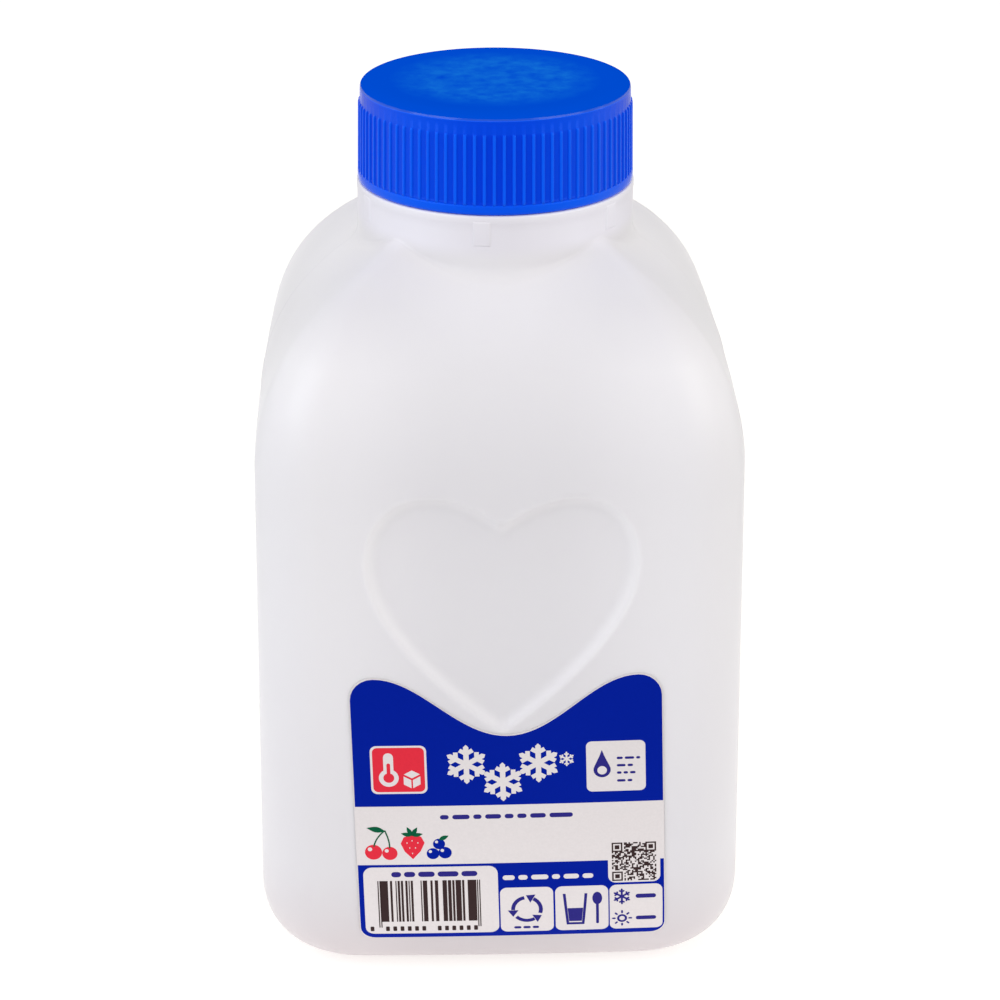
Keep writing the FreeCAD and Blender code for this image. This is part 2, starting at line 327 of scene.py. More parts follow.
def heart_depth(inside):
    """Depth of the recess at a distance inside its outline."""
    soft = (inside + np.sqrt(inside ** 2 + RIM_SOFTNESS ** 2)) / 2
    wall, bowl = (1 - (1 - np.clip(soft / width, 0, 1)) ** 2 for width in (HEART_WALL, HEART_BOWL))
    lip = LIP_HEIGHT * np.exp(-((inside - LIP_PLACE) / LIP_WIDTH) ** 2)
    return (WALL_SHARE * wall + (1 - WALL_SHARE) * bowl) * HEART_DEPTH * (inside > -1) - lip


print("depth 1, 3 and 10 mm inside the rim:", heart_depth(np.array([1.0, 3.0, 10.0])).round(2), "mm")


# %% [markdown]
# ## Rows and columns of the shell
#
# The skin is a net of points. Its columns stand close together on the front, where the heart
# needs them, closer at the corners, and in a tight group where the two mould halves met. Its rows
# are close over the heart's height. Each column is cut where it meets the round neck, and a small
# bend is laid in there, softer in the middle of each side than at the ridges.

# %% The columns, as turns from the front in degrees
PARTING_TURNS = (89.3, 89.75, 90.0, 90.25, 90.7)
PARTING_WIDTH = 0.16
PARTING_PROUD = 0.09
PARTING_FOOT = 3.0
front = [np.linspace(0, 33, 60), np.linspace(33, 57, 25)[1:], np.linspace(57, 88.4, 20)[1:]]
back = [np.linspace(91.6, 123, 20), np.linspace(123, 147, 25)[1:], np.linspace(147, 180, 20)[1:]]
half_turn = np.concatenate(front + [PARTING_TURNS] + back)
TURNS = np.radians(np.concatenate([half_turn, -half_turn[1:-1][::-1]]))
AT_PARTING = np.exp(-((np.abs(np.degrees(TURNS)) - 90) / PARTING_WIDTH) ** 2)
print("%d columns" % len(TURNS))


# %% The underside
def floor_under(x, y, inset):
    """Height of the underside: two crossed arches and a pushed-up middle."""
    arch_r = (ARCH_HALF ** 2 + ARCH_HEIGHT ** 2) / (2 * ARCH_HEIGHT)
    dish_r = (DISH_R ** 2 + DISH_HEIGHT ** 2) / (2 * DISH_HEIGHT)
    arches = [ARCH_HEIGHT - arch_r + np.sqrt((arch_r + inset) ** 2 - side ** 2) for side in (x, y)]
    room = np.maximum((dish_r + inset) ** 2 - x ** 2 - y ** 2, 0)
    return np.maximum(np.maximum(*arches), DISH_HEIGHT - dish_r + np.sqrt(room))


# %% The rows of one skin, outer or inner
BEND_LEAST, BEND_MORE = 0.45, 1.5
STEP_BELOW, STEP_BEYOND, HALVINGS = 2.4, 4.0, 40
CREEP, CREEPS = 0.02, 30
HEART_MARGIN = 2.0


def neck_bend(reach, neck_r):
    """Where each column leaves the body for the neck, the bend's size, and the height they meet at."""
    low_step, high_step = (np.full_like(TURNS, step) for step in (STEP_BELOW, STEP_BEYOND))
    for _ in range(HALVINGS):
        middle = (low_step + high_step) / 2
        outside = reach(middle)[0] > neck_r
        low_step = np.where(outside, middle, low_step)
        high_step = np.where(outside, high_step, middle)
    meet_z = reach(low_step)[1]
    bend = BEND_LEAST + BEND_MORE * np.cos(2 * TURNS) ** 4
    back = np.zeros_like(TURNS)
    for _ in range(CREEPS):
        r, z = reach(low_step - back)
        back += (bend - np.hypot(r - neck_r, z - meet_z)) * CREEP
    return low_step - back, bend, meet_z


def skin_rows(inset, neck_r, disc, base, low, heart, shoulder, neck):
    """Points of a skin from near the base's middle up to the ring; the last six say how many rows."""
    def reach(step):
        half, z, corner = profile(np.full_like(TURNS, step), inset)
        return section_radius(TURNS, half, corner), z

    leave_step, bend, meet_z = neck_bend(reach, neck_r)
    heart_start = (HEART_TIP - HEART_MARGIN - BASE_HEIGHT) / (SHOULDER_Z - BASE_HEIGHT)
    steps = [*np.linspace(0, 1, base + 1)]
    steps += [1 + share for share in np.linspace(0, heart_start, low + 1)[1:]]
    steps += [1 + share for share in np.linspace(heart_start, 1, heart + 1)[1:]]
    steps += [2 + (leave_step - 2) * share for share in np.linspace(0, 1, shoulder + 1)[1:]]
    foot_r, foot_z = reach(0.0)
    levels = [(foot_r * number / disc, foot_z) for number in range(1, disc)]
    levels += [reach(step) for step in steps]
    leave_r, leave_z = levels[-1]
    for t in np.linspace(0, 1, neck + 1)[1:]:
        u = 1 - t
        levels.append((u * u * leave_r + 2 * u * t * neck_r + t * t * neck_r,
                       u * u * leave_z + 2 * u * t * meet_z + t * t * (meet_z + bend)))
    r, z = np.array(levels).transpose(1, 0, 2)
    x, y = r * np.sin(TURNS), -r * np.cos(TURNS)
    z = np.where(z < BASE_HEIGHT / 4, np.maximum(z, floor_under(x, y, inset)), z)
    return np.stack([x, y, z], -1)


print("bend at the neck's foot: %.2f to %.2f mm" % (BEND_LEAST, BEND_LEAST + BEND_MORE))


# %% The heart pressed into a skin
AROUND = 4.0
WALL_MIDDLE, WALL_SPREAD = 0.7, 0.75


def near_heart(points):
    """Which points of a skin are on the front, in or close to the heart."""
    x, y, z = np.moveaxis(points, -1, 0)
    level = (z > HEART_TIP - AROUND) & (z < HEART_TOP + AROUND)
    return (y < 0) & (np.abs(x) < HEART_HALF + AROUND) & level


def press_heart(points, snap):
    """Presses the heart into a skin, draws the nearest points onto its rim and softens its creases."""
    x, y, z = np.moveaxis(points, -1, 0)
    near = near_heart(points)
    inside, rim = distance_inside(HEART, x[near], z[near])
    close = np.abs(inside) < snap
    xz = np.stack([x[near], z[near]], -1)
    xz[close] = rim[close]
    inside = np.where(close, 0.0, inside)
    x[near], z[near] = xz[:, 0], xz[:, 1]
    left, right = (distance_inside(HEART, x[near] + step, z[near])[0]
                   for step in (-CREASE_STEP, CREASE_STEP))
    inside = inside + np.exp(-(x[near] / CREASE_WIDTH) ** 2) * ((left + right) / 2 - inside)
    y[near] += heart_depth(inside)
    return points


def heart_wall_highlight(points):
    """Where a highlight is painted on the heart: 1 on the wall just inside its rim, falling to 0 on either
    side, for rows of a skin.
    """
    near = near_heart(points)
    inside = distance_inside(HEART, points[near][:, 0], points[near][:, 2])[0]
    amount = np.zeros(near.shape)
    amount[near] = np.exp(-((inside - WALL_MIDDLE) / WALL_SPREAD) ** 2)
    return amount


# %% The outer skin
def rings(outline):
    """Rows of plain circles, from a list of (radius, height)."""
    return np.array([[[r * math.sin(t), -r * math.cos(t), z] for t in TURNS] for r, z in outline])


outer = skin_rows(0.0, NECK_R, disc=14, base=14, low=8, heart=84, shoulder=46, neck=6)
outer = press_heart(outer, snap=0.2)
outer[..., 0] += np.sign(outer[..., 0]) * PARTING_PROUD * AT_PARTING * (outer[..., 2] > PARTING_FOOT)
print("outer skin: %d rows" % len(outer))


# %% [markdown]
# ## Neck and inside
#
# Above the bend the neck is plain round work: a thin ring at its top, the step in to the finish
# that the cap goes over, the bore, and then the inner skin back down, one wall thickness in. The
# net is closed at both middles of the base, so the shell is one watertight mesh.

# %% Neck, bore and inner skin
ring_z = COLLAR_TOP - RING_HEIGHT
ring_r = NECK_R + RING_PROUD
bore_r = NECK_R - NECK_WALL
outer_neck = rings([(NECK_R, ring_z - 1.6), (NECK_R, ring_z - 0.35), (ring_r, ring_z - 0.2),
                    (ring_r - 0.02, ring_z), (ring_r, ring_z + 0.15), (ring_r, COLLAR_TOP - 0.3),
                    (NECK_R - 0.02, COLLAR_TOP - 0.1), (NECK_R - 0.2, COLLAR_TOP),
                    (NECK_R - 0.7, COLLAR_TOP), (FINISH_R + 0.1, COLLAR_TOP),
                    (FINISH_R, COLLAR_TOP + 0.3), (FINISH_R, FINISH_TOP - 0.3),
                    (FINISH_R - 0.3, FINISH_TOP), (BORE_R + 0.3, FINISH_TOP),
                    (BORE_R, FINISH_TOP - 0.3), (BORE_R, COLLAR_TOP - 1.6),
                    (bore_r, COLLAR_TOP - 3.2), (bore_r, ring_z - 2.0)])
inner = skin_rows(WALL, bore_r, disc=5, base=7, low=6, heart=34, shoulder=14, neck=2)
inner = press_heart(inner, snap=0.0)
rows = np.concatenate([outer, outer_neck, inner[::-1]])
count, columns = rows.shape[:2]
walls = np.zeros(count * columns + 2)
# Where the highlight is painted on the heart's wall.
walls[:outer[..., 0].size] = heart_wall_highlight(outer).ravel()
print("shell net: %d rows by %d columns" % (count, columns))

# %% Join the net and close both middles of the base
points = rows.reshape(-1, 3).tolist()
faces = []
for row in range(count - 1):
    for column in range(columns):
        a, b = row * columns + column, row * columns + (column + 1) % columns
        faces.append((a, b, b + columns, a + columns))
for first, height, order in ((0, DISH_HEIGHT, -1), ((count - 1) * columns, DISH_HEIGHT + WALL, 1)):
    points.append((0.0, 0.0, height))
    for column in range(columns):
        a, b = (first + column, first + (column + 1) % columns)[::order]
        faces.append((a, b, len(points) - 1))
print("shell of %d points and %d faces" % (len(points), len(faces)))


# %% [markdown]
# ## Finish of the bottle
#
# Blow-moulded high-density polyethylene, left uncoloured, is milky: light goes in, scatters and
# comes out again nearby, so edges and thin walls glow softly and nothing behind shows sharply.
# Its skin is satin, from a sand-blasted mould. Subsurface scattering gives the milk, a medium
# roughness the satin, and a fine and a broad noise the slight unevenness of a blown wall. Shade is
# painted into the colour: darker low down and towards the foot, where a faint pink mixes in, darker
# in the middle of each side, and darker towards the ridges below the neck. A highlight is painted
# on the steep wall of the heart. The neck is painted lighter, as light shining through it, with a
# lilac tint from the cap's blue, and darker in the middle of each side. The neck does without
# scattering, which would draw dark lines round its lugs.

# %% Milky polyethylene
def nearer_axis(tree, along):
    """The smaller of |x| and |y|: 0 in the middle of each side, most at the corners."""
    sides = [add(tree, "ShaderNodeMath", {0: along[axis]}, operation="ABSOLUTE") for axis in "XY"]
    return add(tree, "ShaderNodeMath", {0: sides[0], 1: sides[1]}, operation="MINIMUM")


def polyethylene():
    """Milky plastic, satin outside, with shade and light painted into its colour."""
    material, tree = new_material("blow-moulded HDPE, uncoloured")
    place = add(tree, "ShaderNodeTexCoord").outputs["Object"]
    grain = add(tree, "ShaderNodeTexNoise", {"Vector": place, "Scale": 1 / (0.7 * MM), "Detail": 3.0})
    waves = add(tree, "ShaderNodeTexNoise", {"Vector": place, "Scale": 1 / (14 * MM), "Detail": 1.0})
    fine = add(tree, "ShaderNodeBump", {"Height": grain, "Distance": 0.01 * MM, "Strength": 0.5})
    broad = add(tree, "ShaderNodeBump", {"Height": waves, "Distance": 0.25 * MM, "Strength": 0.5,
                                         "Normal": fine})
    along = add(tree, "ShaderNodeSeparateXYZ", {0: place}).outputs
    height, nearer = along["Z"], nearer_axis(tree, along)
    soft, even = "SMOOTHSTEP", "LINEAR"
    fade = {}
    # These maps paint shade into the colour: darker low down and towards the foot, darker in the middle of
    # each side, darker towards the ridges below the neck and in the middle of each side of the neck.
    for name, value, start, end, low, high, way in (
            ("foot", height, -2, 24, 0.0, 1.0, soft), ("rise", height, 0, 72, 0.85, 1.0, soft),
            ("edge", nearer, 6, 29, 0.92, 1.0, soft), ("ridge_shade", nearer, 4, 16, 0.95, 0.905, even),
            ("round", nearer, 2, 12, 0.0, 1.0, even),
            ("neck", height, NECK_Z + 2, NECK_Z + 5, 0.0, 1.0, soft)):
        fade[name] = add(tree, "ShaderNodeMapRange",
                         {"Value": value, "From Min": start * MM, "From Max": end * MM, "To Min": low,
                          "To Max": high}, interpolation_type=way)
    # Painted shade: the middle of each side is darker low on the body, and the ridges are darker below the
    # neck.
    side_shade = add(tree, "ShaderNodeMapRange", {"Value": height, "From Min": 104 * MM, "From Max": 112 * MM,
                                            "To Min": fade["edge"], "To Max": fade["ridge_shade"]})
    # Painted highlight: the heart's steep wall is made lighter.
    heart = add(tree, "ShaderNodeAttribute", attribute_name="heart_wall_highlight").outputs["Fac"]
    wall_highlight = add(tree, "ShaderNodeMapRange", {"Value": heart, "To Min": 1.0, "To Max": 1.06})
    milk = add(tree, "ShaderNodeMapRange", {"Value": fade["neck"], "To Min": 1.0, "To Max": 0.0})
    # Painted shade towards the foot, with a faint pink.
    lower = add(tree, "ShaderNodeMix", {"Factor": fade["foot"], "A": linear("#E2D8DC"),
                                        "B": linear("#F0EDF2")}, data_type="RGBA")
    risen = add(tree, "ShaderNodeMath", {0: fade["rise"], 1: wall_highlight}, operation="MULTIPLY")
    # Painted shade and the painted highlight, multiplied into the body's colour.
    thin = add(tree, "ShaderNodeMath", {0: side_shade, 1: risen}, operation="MULTIPLY")
    painted_shade_body = add(tree, "ShaderNodeVectorMath", {0: lower, 1: thin}, operation="MULTIPLY")
    # The neck is painted lighter, as light shining through it, with a lilac tint from the cap's blue, and
    # darker in the middle of each side.
    white = add(tree, "ShaderNodeMix", {"Factor": fade["round"], "A": linear("#E8E4ED"),
                                        "B": linear("#F1EEF8")}, data_type="RGBA")
    colour = add(tree, "ShaderNodeMix", {"Factor": fade["neck"], "A": painted_shade_body, "B": white},
                 data_type="RGBA")
    close_material(tree, {"Base Color": colour, "Subsurface Weight": milk,
                          "Subsurface Radius": (1.0, 1.0, 1.0), "Subsurface Scale": 0.7 * MM,
                          "Roughness": 0.38, "IOR": 1.54, "Normal": broad})
    return material


# %% Make the shell
HDPE = polyethylene()
bottle = finish_piece(mesh_from("bottle_shell", points, faces, HDPE), "bottle")
# The mask of the highlight painted on the heart's wall.
bottle.data.attributes.new("heart_wall_highlight", "FLOAT", "POINT").data.foreach_set("value", walls)
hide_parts("bottle")


# %% [markdown]
# ## Lugs on the neck
#
# Six small blocks hang from the ring round the neck. They are alike and evenly spaced, which is
# what Geometry Nodes are good at: one block goes in, and the tree sets a turned copy of it for
# every point. The same tree later makes the ribbed cap from one narrow slice.

# %% A tree that repeats a piece round the upright axis
def new_tree(name, sizes):
    """A Geometry Nodes tree with these named inputs, and the outputs of its entry node."""
    tree = bpy.data.node_groups.new(name, "GeometryNodeTree")
    tree.interface.new_socket("Geometry", in_out="INPUT", socket_type="NodeSocketGeometry")
    for label, kind, value in sizes:
        socket = tree.interface.new_socket(label, in_out="INPUT", socket_type=kind)
        socket.default_value = value
    tree.interface.new_socket("Geometry", in_out="OUTPUT", socket_type="NodeSocketGeometry")
    return tree, add(tree, "NodeGroupInput").outputs


def close_tree(tree, geometry, material):
    """Makes the instances real, gives them their material and ends the tree."""
    real = add(tree, "GeometryNodeRealizeInstances", {"Geometry": geometry})
    painted = add(tree, "GeometryNodeSetMaterial", {"Geometry": real, "Material": material})
    add(tree, "NodeGroupOutput", {"Geometry": painted})


def repeat_around(material):
    """Copies of the geometry turned about Z: how many, the first turn, and what is merged."""
    tree, given = new_tree("repeat around an axis", [("Count", "NodeSocketInt", 6),
                                                     ("First turn", "NodeSocketFloat", 0.0),
                                                     ("Merge within", "NodeSocketFloat", 0.0)])
    spots = add(tree, "GeometryNodePoints", {"Count": given["Count"]})
    number = add(tree, "GeometryNodeInputIndex")
    share = add(tree, "ShaderNodeMath", {0: number, 1: given["Count"]}, operation="DIVIDE")
    turn = add(tree, "ShaderNodeMath", {0: share, 1: math.tau, 2: given["First turn"]},
               operation="MULTIPLY_ADD")
    about_z = add(tree, "ShaderNodeCombineXYZ", {"Z": turn})
    copies = add(tree, "GeometryNodeInstanceOnPoints",
                 {"Points": spots, "Instance": given["Geometry"], "Rotation": about_z})
    real = add(tree, "GeometryNodeRealizeInstances", {"Geometry": copies})
    merged = add(tree, "GeometryNodeMergeByDistance",
                 {"Geometry": real, "Distance": given["Merge within"]})
    close_tree(tree, merged, material)
    return tree


# %% The lugs
LUG_WIDTH = 2.5
LUG_HEIGHT = 3.7
LUG_PROUD = 0.15
LUG_COUNT = 6
LUG_FIRST_TURN = math.radians(-97)
LUG_SINK = 0.3
LUG_ROUND = 0.10
OUTER_GROWTH, INNER_GROWTH = -0.2, 0.8


def lug_block():
    """One block with rounded edges, a little tapered, its inner half sunk in the neck's wall."""
    mesh = bpy.data.meshes.new("lug")
    body = bmesh.new()
    bmesh.ops.create_cube(body, size=1.0)
    middle_z = COLLAR_TOP - RING_HEIGHT - LUG_HEIGHT / 2
    for vertex in body.verts:
        out, growth = (LUG_PROUD, OUTER_GROWTH) if vertex.co.x > 0 else (-LUG_SINK, INNER_GROWTH)
        wide, high = (math.copysign((size + growth) / 2, side)
                      for size, side in ((LUG_WIDTH, vertex.co.y), (LUG_HEIGHT, vertex.co.z)))
        vertex.co = Vector((NECK_R + out, wide, high + middle_z)) * MM
    bmesh.ops.bevel(body, geom=body.edges[:], offset=LUG_ROUND * MM, segments=3, affect="EDGES",
                    profile=0.5)
    for face in body.faces:
        face.smooth = True
    body.to_mesh(mesh)
    body.free()
    return mesh


lugs = make_object("neck_lugs", lug_block())
apply_nodes(lugs, repeat_around(HDPE), {"Count": LUG_COUNT, "First turn": LUG_FIRST_TURN})
finish_piece(lugs, "bottle")


# %% [markdown]
# ## The cap
#
# The cap is injection-moulded in blue polypropylene. Its side is the same narrow slice ninety
# times over: a low rib with a rounded crest, whose top rounds off into a slimmer plain band, and
# a fuller rim below. So one slice of the whole cap is built, from the middle of its top down the
# side, under the rim and back up inside, and the tree above repeats it and welds the slices into
# one closed cup.

# %% Sizes of the cap
CAP_LOW, CAP_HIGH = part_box("cap")
CAP_TOP = CAP_HIGH.z / MM
CAP_FOOT = CAP_LOW.z / MM - 0.2
CAP_R = CAP_HIGH.x / MM
CAP_TOP_R = CAP_R - 0.3
CAP_BORE = FINISH_R + 0.4
CAP_ROOF = 1.6
CAP_DROP = 1.0
CAP_BAND = 2.0
CAP_RIM = 1.5
RIBS = 90
RIB_HEIGHT = 0.27
RIB_CREST, RIB_FOOT = 0.15, 0.22
CREST_ROUND = 0.06
print("ribs %.2f mm apart, %.2f mm high" % (math.tau * CAP_R / RIBS, RIB_HEIGHT))


# %% The side, from the top round to the inside
def lean(z):
    """Radius over the ribs at a height, a little less at the top."""
    return CAP_R + (CAP_TOP_R - CAP_R) * (z - CAP_FOOT) / (CAP_TOP - CAP_DROP - CAP_FOOT)


def cap_profile():
    """(radius, height, how far the ribs have risen there), from the top round to the inside."""
    edge = CAP_TOP - CAP_DROP
    rib_top, rib_foot = edge - CAP_BAND, CAP_FOOT + CAP_RIM
    path = [(r, CAP_TOP, 0) for r in (0.0, 6.0, 12.0, 16.5, 17.6)]
    for out, down in ((3.0, 0.0), (2.6, 0.01), (2.1, 0.04), (1.5, 0.11), (0.9, 0.24), (0.5, 0.36),
                      (0.3, 0.46), (0.17, 0.58), (0.07, 0.75), (0.03, 0.9), (0.0, 1.0)):
        path.append((CAP_TOP_R - RIB_HEIGHT - out, CAP_TOP - down, 0))
    for down, risen in ((-1.85, 0), (0.0, 0), (0.05, 0.35), (0.14, 0.65), (0.28, 0.88), (0.5, 1)):
        z = rib_top - down
        path.append((lean(z) - RIB_HEIGHT, z, risen))
    for z in (rib_top - 2.4, rib_top - 4.5, rib_top - 6.5, rib_foot + 0.5, rib_foot + 0.02):
        path.append((lean(z) - RIB_HEIGHT, z, 1))
    path += [(CAP_R - out, z, 0) for out, z in (
        (0.15, rib_foot), (0.04, rib_foot - 0.1), (0.0, rib_foot - 0.3), (0.0, CAP_FOOT + 0.5),
        (0.06, CAP_FOOT + 0.15), (0.25, CAP_FOOT))]
    path += [(CAP_BORE + 0.2, CAP_FOOT, 0), (CAP_BORE, CAP_FOOT + 0.2, 0)]
    path += [(CAP_BORE * share, CAP_TOP - CAP_ROOF, 0) for share in (1.0, 0.5, 0.0)]
    return path


def rib(place):
    """Height of the side at a place across one rib, -0.5 to 0.5: 0 beside the rib, 1 on its crest."""
    share = np.clip((abs(place) - RIB_CREST) / (RIB_FOOT - RIB_CREST), 0, 1)
    rounding = CREST_ROUND / RIB_HEIGHT * min(abs(place) / RIB_CREST, 1) ** 2
    return (1 - rounding) * (1 - share * (2 - share))


print("the profile of the cap has %d points" % len(cap_profile()))


# %% One slice
# How much light is painted on the side's blue: some on the rim, a painted highlight line at the top's edge,
# little on the band, which is painted as shade.
RIM_PAINTED_LIGHT, BAND_PAINTED_LIGHT, EDGE_PAINTED_LIGHT = 0.65, 0.2, 0.9


def cap_slice():
    """The points of one slice, one rib wide, its faces, and how much light is painted on each point."""
    half = [0.05, 0.10, 0.15, 0.165, 0.185, 0.22, 0.30, 0.5]
    across = [-place for place in reversed(half)] + [0.0] + half
    path = cap_profile()
    points, faces, painted_light = [], [], []
    for r, z, risen in path:
        # Plain rows: the rim is painted light, the band is painted as shade.
        plain = RIM_PAINTED_LIGHT if z < CAP_FOOT + CAP_RIM + 0.01 else BAND_PAINTED_LIGHT
        # A painted highlight line along the top's edge.
        if abs(z - CAP_TOP + CAP_DROP) < 0.01:
            plain = EDGE_PAINTED_LIGHT
        for place in across:
            turn = place * math.tau / RIBS
            reach = r + RIB_HEIGHT * risen * rib(place)
            points.append((reach * math.cos(turn), reach * math.sin(turn), z))
            # On the ribs the crests are painted light and the valleys are painted as shade.
            painted_light.append(plain + risen * (rib(place) - plain))
    wide = len(across)
    for row in range(len(path) - 1):
        for column in range(wide - 1):
            a = row * wide + column
            faces.append((a, a + wide, a + wide + 1, a + 1))
    return points, faces, painted_light


# %% [markdown]
# Injection-moulded polypropylene takes the mould's polish, so the side shines a little, and a
# thin bright line runs round the top's edge, partly a real reflection and partly a painted
# highlight. The top itself is dull: it came from a matte insert, whose middle is faintly mottled.
# Light and shade are painted into the blue of the side: the crests of the ribs, the rim and the
# top's edge are painted lighter, the band and the valleys darker as painted shade, and the side is
# painted lighter towards the diagonals, as light from the side lamps.

# %% Blue polypropylene
def polypropylene():
    """Blue plastic with light and shade painted on its side, dull and mottled on top."""
    material, tree = new_material("injection-moulded polypropylene, blue")
    place = add(tree, "ShaderNodeTexCoord").outputs["Object"]
    along = add(tree, "ShaderNodeSeparateXYZ", {0: place}).outputs
    height = along["Z"]
    mottle = add(tree, "ShaderNodeTexNoise", {"Vector": place, "Scale": 1 / (2.4 * MM), "Detail": 6.0,
                                              "Roughness": 0.65})
    level = add(tree, "ShaderNodeVectorMath", {0: place, 1: (1, 1, 0)}, operation="MULTIPLY")
    reach = add(tree, "ShaderNodeVectorMath", {0: level}, operation="LENGTH")
    spots = add(tree, "ShaderNodeMapRange", {"Value": mottle, "From Min": 0.28, "From Max": 0.78})
    fade = {}
    # One of these maps paints the side's blue lighter towards the diagonals, as light from the side lamps.
    for name, value, start, end, low, high in (
            ("flat", height, CAP_TOP - 0.25, CAP_TOP - 0.02, 0.0, 1.0),
            ("high", height, CAP_TOP - 0.98, CAP_TOP - 0.88, 0.0, 1.0),
            ("rolled", height, CAP_TOP - 0.7, CAP_TOP - 0.6, 0.42, 0.0),
            ("flank", nearer_axis(tree, along), 3, 13, 0.0, 0.35),
            ("insert", reach, 16.5, 11, 0.0, 1.0)):
        fade[name] = add(tree, "ShaderNodeMapRange",
                         {"Value": value, "From Min": start * MM, "From Max": end * MM, "To Min": low,
                          "To Max": high})
    rough = add(tree, "ShaderNodeMapRange", {"Value": fade["flat"], "To Min": 0.24, "To Max": 0.62})
    edge = add(tree, "ShaderNodeMath", {0: height, 1: (CAP_TOP - 0.85) * MM, 2: 0.16 * MM},
               operation="COMPARE")
    shine = add(tree, "ShaderNodeMath", {0: edge, 1: 0.4, 2: fade["rolled"]}, operation="MULTIPLY_ADD")
    polish = add(tree, "ShaderNodeMath", {0: edge, 1: -0.1, 2: rough}, operation="MULTIPLY_ADD")
    # Light and shade painted on the side: lighter crests, rim, edge line and diagonals, darker band and
    # valleys.
    painted_light = add(tree, "ShaderNodeAttribute", attribute_name="painted_light").outputs["Fac"]
    glow = add(tree, "ShaderNodeMath", {0: painted_light, 1: fade["flank"]}, operation="ADD", use_clamp=True)
    amount = add(tree, "ShaderNodeMath", {0: fade["insert"], 1: spots}, operation="MULTIPLY")
    tone, upper, side = (
        add(tree, "ShaderNodeMix", {"Factor": share, "A": linear(low), "B": linear(high)}, data_type="RGBA")
        for share, low, high in ((edge, "#5498FF", "#B4C2FF"), (amount, "#004CD4", "#1474DC"),
                                 (glow, "#003ADF", "#085CFA")))
    tint = add(tree, "ShaderNodeMix", {"Factor": fade["high"], "A": side, "B": upper}, data_type="RGBA")
    grain = add(tree, "ShaderNodeTexNoise", {"Vector": place, "Scale": 1 / (0.5 * MM), "Detail": 2.0})
    bump = add(tree, "ShaderNodeBump", {"Height": grain, "Distance": 0.012 * MM, "Strength": 0.5})
    close_material(tree, {"Base Color": tint, "Roughness": polish, "IOR": 1.49, "Specular Tint": tone,
                          "Specular IOR Level": shine, "Normal": bump})
    return material


# %% Make the cap
PP_BLUE = polypropylene()
cap_points, cap_faces, cap_painted_light = cap_slice()
cap = mesh_from("screw_cap", cap_points, cap_faces)
# The painted light of each point, for the blue of the side.
cap.data.attributes.new("painted_light", "FLOAT", "POINT").data.foreach_set("value", cap_painted_light)
apply_nodes(cap, repeat_around(PP_BLUE), {"Count": RIBS, "Merge within": 0.004 * MM})
cap.data.polygons.foreach_set("use_smooth", [True] * len(cap.data.polygons))
finish_piece(cap, "cap")
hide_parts("cap")


# %% [markdown]
# ## The film on the front
#
# The label is a thin film whose top edge follows the heart. Shapes for it are drawn flat, in
# millimetres from its middle and its lower edge, filled, cut into strips and laid on the curved
# front, so that they hug the wall. Every ink is a closed skin of its own, a hundredth of a
# millimetre in depth, and lies on the film or on the ink under it.

# %% Laying flat shapes on the front
LABEL_X = 1.1
LABEL_HALF = 24.2
LABEL_LOW_Z = 8.8
LABEL_TURN = math.radians(0.5)
LABEL_LEAN, LEAN_FROM = 0.020, 30
LABEL_SPREAD = 0.013
LABEL_VALLEY = HEART_TIP - 0.2 - LABEL_LOW_Z
LABEL_HUMP = LABEL_VALLEY + 10.1
FILM = 0.2
INK = 0.012
print("label %.1f wide and %.1f mm high" % (2 * LABEL_HALF, LABEL_HUMP))


def on_front(u, v, lift):
    """Place on the front, from a place on the label, lifted off the wall."""
    w = v - LABEL_HUMP / 2
    spread = 1 + LABEL_SPREAD * (1 - v / LABEL_HUMP)
    x = LABEL_X + u * spread * math.cos(LABEL_TURN) - w * math.sin(LABEL_TURN) + LABEL_LEAN * (LEAN_FROM - v)
    z = LABEL_LOW_Z + LABEL_HUMP / 2 + u * math.sin(LABEL_TURN) + w * math.cos(LABEL_TURN)
    crown = CROWN_R - math.sqrt(CROWN_R ** 2 - x * x)
    if z > BASE_HEIGHT:
        half = FOOT_HALF - BODY_FLARE * (z - BASE_HEIGHT) / (SHOULDER_Z - BASE_HEIGHT)
        return x, crown - half - lift, z
    sine = 1 - z / BASE_HEIGHT
    cosine = math.sqrt(1 - sine * sine)
    out, up = cosine / BASE_WIDTH, -sine / BASE_HEIGHT
    size = math.hypot(out, up)
    half = FOOT_HALF - BASE_WIDTH * (1 - cosine)
    return x, crown - half - lift * out / size, z + lift * up / size


# %% Filling, cutting and wrapping
def fill(body, loops):
    """Fills an outline, less the holes in it."""
    flat = [[Vector((u, v, 0)) for u, v in loop] for loop in loops]
    corners = [body.verts.new(place) for loop in flat for place in loop]
    for triangle in tessellate_polygon(flat):
        try:
            body.faces.new([corners[i] for i in triangle])
        except ValueError:
            pass


CUTS_U = range(-24, 25, 3)
CUTS_V = (*range(1, 8), *range(10, 48, 4))


